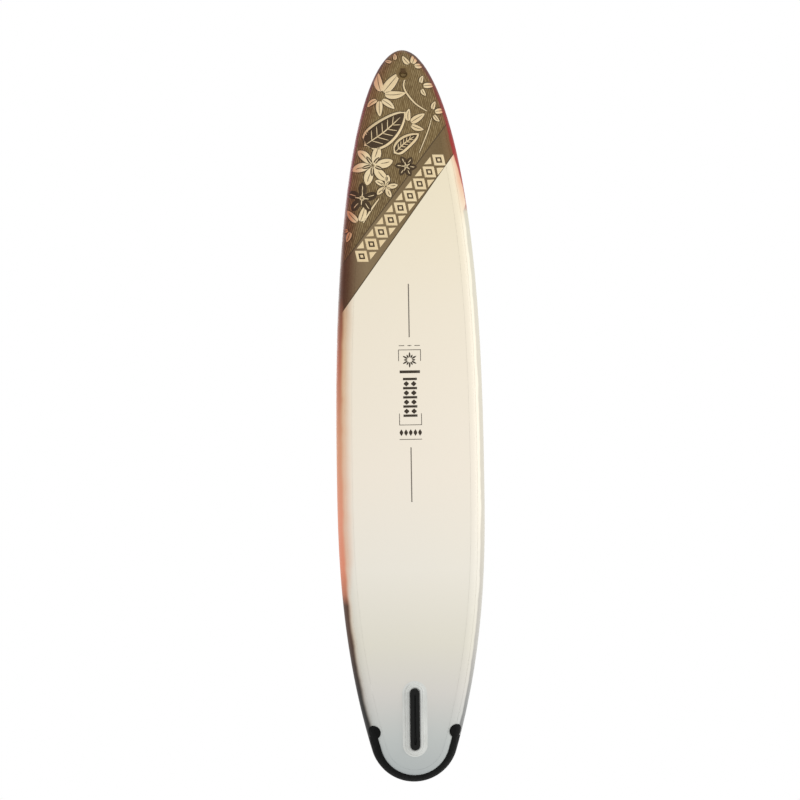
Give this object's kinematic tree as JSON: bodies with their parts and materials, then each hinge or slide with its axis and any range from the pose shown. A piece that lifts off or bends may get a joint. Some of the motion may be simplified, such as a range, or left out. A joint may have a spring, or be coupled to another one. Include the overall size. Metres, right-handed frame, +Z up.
{
  "type": "stand up paddleboard",
  "caption": "Inflatable touring paddleboard with a pointed nose, round tail, fin box without a fin, tow and cargo rings, deck pad, carry handle and inflation valve.",
  "frame": {"origin": "under the middle of the board, on the surface that its flat bottom rests on", "axes": "+X to the nose, +Y to the left side, +Z up out of the deck"},
  "size_m": [3.81, 0.7616, 0.3368],
  "materials": {
    "bottom_pvc": "woven-backed coated fabric, satin",
    "deck_pvc": "woven-backed coated fabric, satin",
    "wall_pvc": "coated fabric, satin",
    "band_left_pvc": "coated fabric, satin",
    "band_right_pvc": "printed coated fabric, satin",
    "threads": "polyester thread",
    "edge_rubber": "moulded rubber",
    "patch_white": "coated fabric",
    "patch_brown": "coated fabric",
    "patch_black": "coated fabric",
    "box_plastic": "moulded nylon",
    "steel": "polished stainless wire",
    "webbing": "nylon webbing",
    "eva": "closed-cell foam, grooved",
    "eva_dark": "closed-cell foam",
    "grip": "padded neoprene",
    "valve_plastic": "moulded plastic",
    "valve_grey": "moulded plastic",
    "seal_rubber": "soft rubber",
    "spring_steel": "spring wire"
  },
  "bodies": {
    "hull": {"bottom_skin": "bottom_pvc", "deck_skin": "deck_pvc", "sidewall_left": "wall_pvc", "sidewall_right": "wall_pvc", "rail_band_left": "band_left_pvc", "rail_band_right": "band_right_pvc", "drop_stitch_threads": "threads", "tail_edge_strip": "edge_rubber", "fin_box_patch": "patch_white", "fin_box_welt": "patch_white", "fin_box": "box_plastic", "nose_ring_patch": "patch_brown", "nose_ring_loop": "webbing", "deck_pad": "eva", "tail_pad": "eva", "kick_pad": "eva_dark", "handle_patches": "patch_black", "handle_webbing": "webbing", "handle_grip": "grip", "cargo_ring_patches": "patch_black", "cargo_ring_loops": "webbing", "leash_ring_patch": "patch_black", "leash_ring_loop": "webbing", "valve_patch": "patch_black", "valve_body": "valve_plastic", "valve_nut": "valve_grey", "valve_spring": "spring_steel"},
    "nose_ring": {"nose_ring": "steel"},
    "leash_ring": {"leash_ring": "steel"},
    "cargo_ring_1": {"cargo_ring_1": "steel"},
    "cargo_ring_2": {"cargo_ring_2": "steel"},
    "cargo_ring_3": {"cargo_ring_3": "steel"},
    "cargo_ring_4": {"cargo_ring_4": "steel"},
    "valve_stem": {"valve_stem": "valve_grey", "valve_seal": "seal_rubber"},
    "valve_cap": {"valve_cap": "valve_plastic", "valve_cap_seal": "seal_rubber", "valve_tether": "seal_rubber"}
  },
  "joints": [
    {"name": "nose_ring_swing", "type": "hinge", "parent": "hull", "child": "nose_ring", "pos_m": [1.77357, 0, 0.15632], "axis": [0, -1, 0], "range_deg": [0, 160]},
    {"name": "leash_ring_swing", "type": "hinge", "parent": "hull", "child": "leash_ring", "pos_m": [-1.75207, 0, 0.21401], "axis": [0, 1, 0], "range_deg": [0, 160]},
    {"name": "cargo_ring_1_swing", "type": "hinge", "parent": "hull", "child": "cargo_ring_1", "pos_m": [0.77617, 0.215, 0.16465], "axis": [-0.9989, 0, -0.0467], "range_deg": [0, 160]},
    {"name": "cargo_ring_2_swing", "type": "hinge", "parent": "hull", "child": "cargo_ring_2", "pos_m": [0.77617, -0.215, 0.16465], "axis": [0.9989, 0, 0.0467], "range_deg": [0, 160]},
    {"name": "cargo_ring_3_swing", "type": "hinge", "parent": "hull", "child": "cargo_ring_3", "pos_m": [1.22934, 0.15, 0.20345], "axis": [-0.9915, 0, -0.13], "range_deg": [0, 160]},
    {"name": "cargo_ring_4_swing", "type": "hinge", "parent": "hull", "child": "cargo_ring_4", "pos_m": [1.22934, -0.15, 0.20345], "axis": [0.9915, 0, 0.13], "range_deg": [0, 160]},
    {"name": "valve_cap_lift", "type": "slide", "parent": "hull", "child": "valve_cap", "axis": [0.0825, 0, 0.9966], "range_m": [0, 0.035]},
    {"name": "valve_stem_push", "type": "slide", "parent": "hull", "child": "valve_stem", "axis": [-0.0825, 0, -0.9966], "range_m": [0, 0.005], "stiffness_N_per_m": 600, "springref_m": -0.008, "deforming": ["valve_spring"]}
  ]
}
